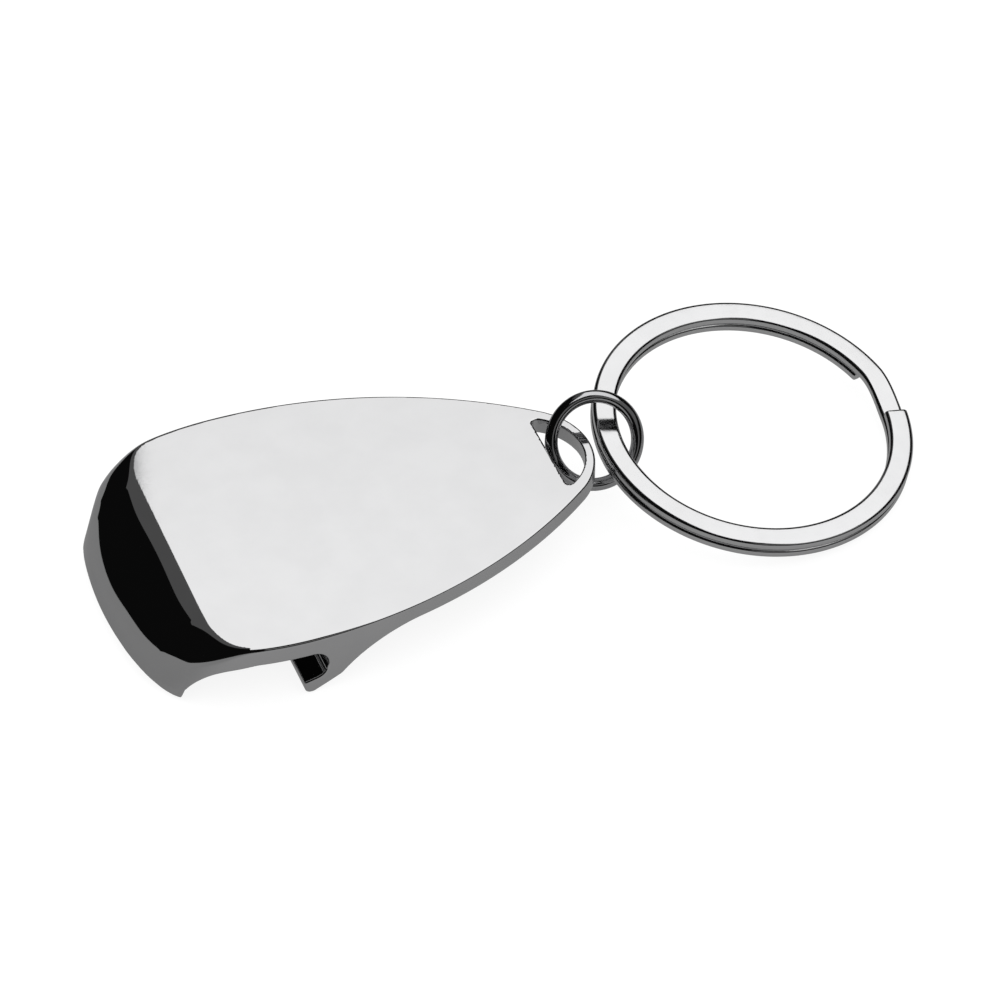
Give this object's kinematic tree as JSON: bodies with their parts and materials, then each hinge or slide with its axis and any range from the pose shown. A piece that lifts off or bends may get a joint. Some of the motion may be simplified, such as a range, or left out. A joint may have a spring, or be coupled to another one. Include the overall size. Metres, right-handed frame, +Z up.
{
  "type": "keychain bottle opener",
  "caption": "Flat egg-shaped keychain bottle opener with a cap lip and hook underneath, a jump ring through its eye and a flat-wire split ring.",
  "frame": {"origin": "middle of the flat foot under the hook, where the opener stands", "axes": "+X from the cap lip towards the rings, +Z up out of the flat top face, and the body is mirrored across Y = 0"},
  "size_m": [0.0779, 0.0312, 0.0095],
  "materials": {
    "polished_casting": "mirror-polished plated zinc casting",
    "jump_wire": "bright dark nickel-plated steel wire",
    "ring_wire": "bright nickel-plated flattened steel wire"
  },
  "bodies": {
    "opener": {"opener_body": "polished_casting"},
    "link": {"jump_ring": "jump_wire"},
    "keyring": {"split_ring": "ring_wire"}
  },
  "joints": [
    {"name": "jump_ring_swing", "type": "hinge", "parent": "opener", "child": "link", "pos_m": [0.0324, 0, 0.0055], "axis": [0, 1, 0], "range_deg": [-45, 40]},
    {"name": "split_ring_swing", "type": "hinge", "parent": "link", "child": "keyring", "pos_m": [0.03466, -0.00081, 0.00524], "axis": [0.0161, 0.9899, 0.1405], "range_deg": [-115, 110]}
  ]
}
